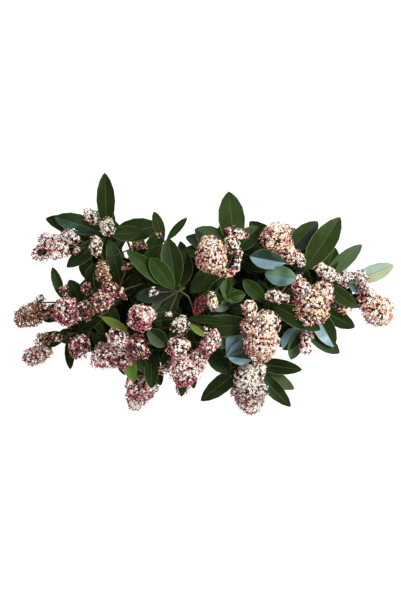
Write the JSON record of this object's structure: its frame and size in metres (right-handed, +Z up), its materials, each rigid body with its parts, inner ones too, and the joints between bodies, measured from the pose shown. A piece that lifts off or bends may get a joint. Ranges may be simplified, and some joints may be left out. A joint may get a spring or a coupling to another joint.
{
  "type": "skimmia shrub",
  "caption": "Small evergreen skimmia shrub in flower: short main stem, tapering boughs, and low domed masses of whorled leaves carrying dense rounded flower heads.",
  "frame": {"origin": "centre of the flat cut under the main stem, at ground level", "axes": "+Z up; +X to the right and +Y to the top of the picture's plan view"},
  "size_m": [0.6575, 0.4147, 0.4183],
  "materials": {
    "leaf_green": "glossy evergreen leaves",
    "bark_brown": "matt grey-brown bark"
  },
  "bodies": {
    "root": {"main_stem": "bark_brown", "bough_left_back": "bark_brown", "bough_left": "bark_brown", "bough_left_front": "bark_brown", "bough_front_left": "bark_brown", "bough_front": "bark_brown", "bough_centre": "bark_brown", "bough_back": "bark_brown", "bough_right_back": "bark_brown", "bough_right": "bark_brown", "bough_right_front": "bark_brown", "bough_front_right": "bark_brown", "foliage_left_back": "leaf_green", "foliage_left": "leaf_green", "foliage_left_front": "leaf_green", "foliage_front_left": "leaf_green", "foliage_front": "leaf_green", "foliage_centre": "leaf_green", "foliage_back": "leaf_green", "foliage_right_back": "leaf_green", "foliage_right": "leaf_green", "foliage_right_front": "leaf_green", "foliage_front_right": "leaf_green"}
  },
  "joints": []
}
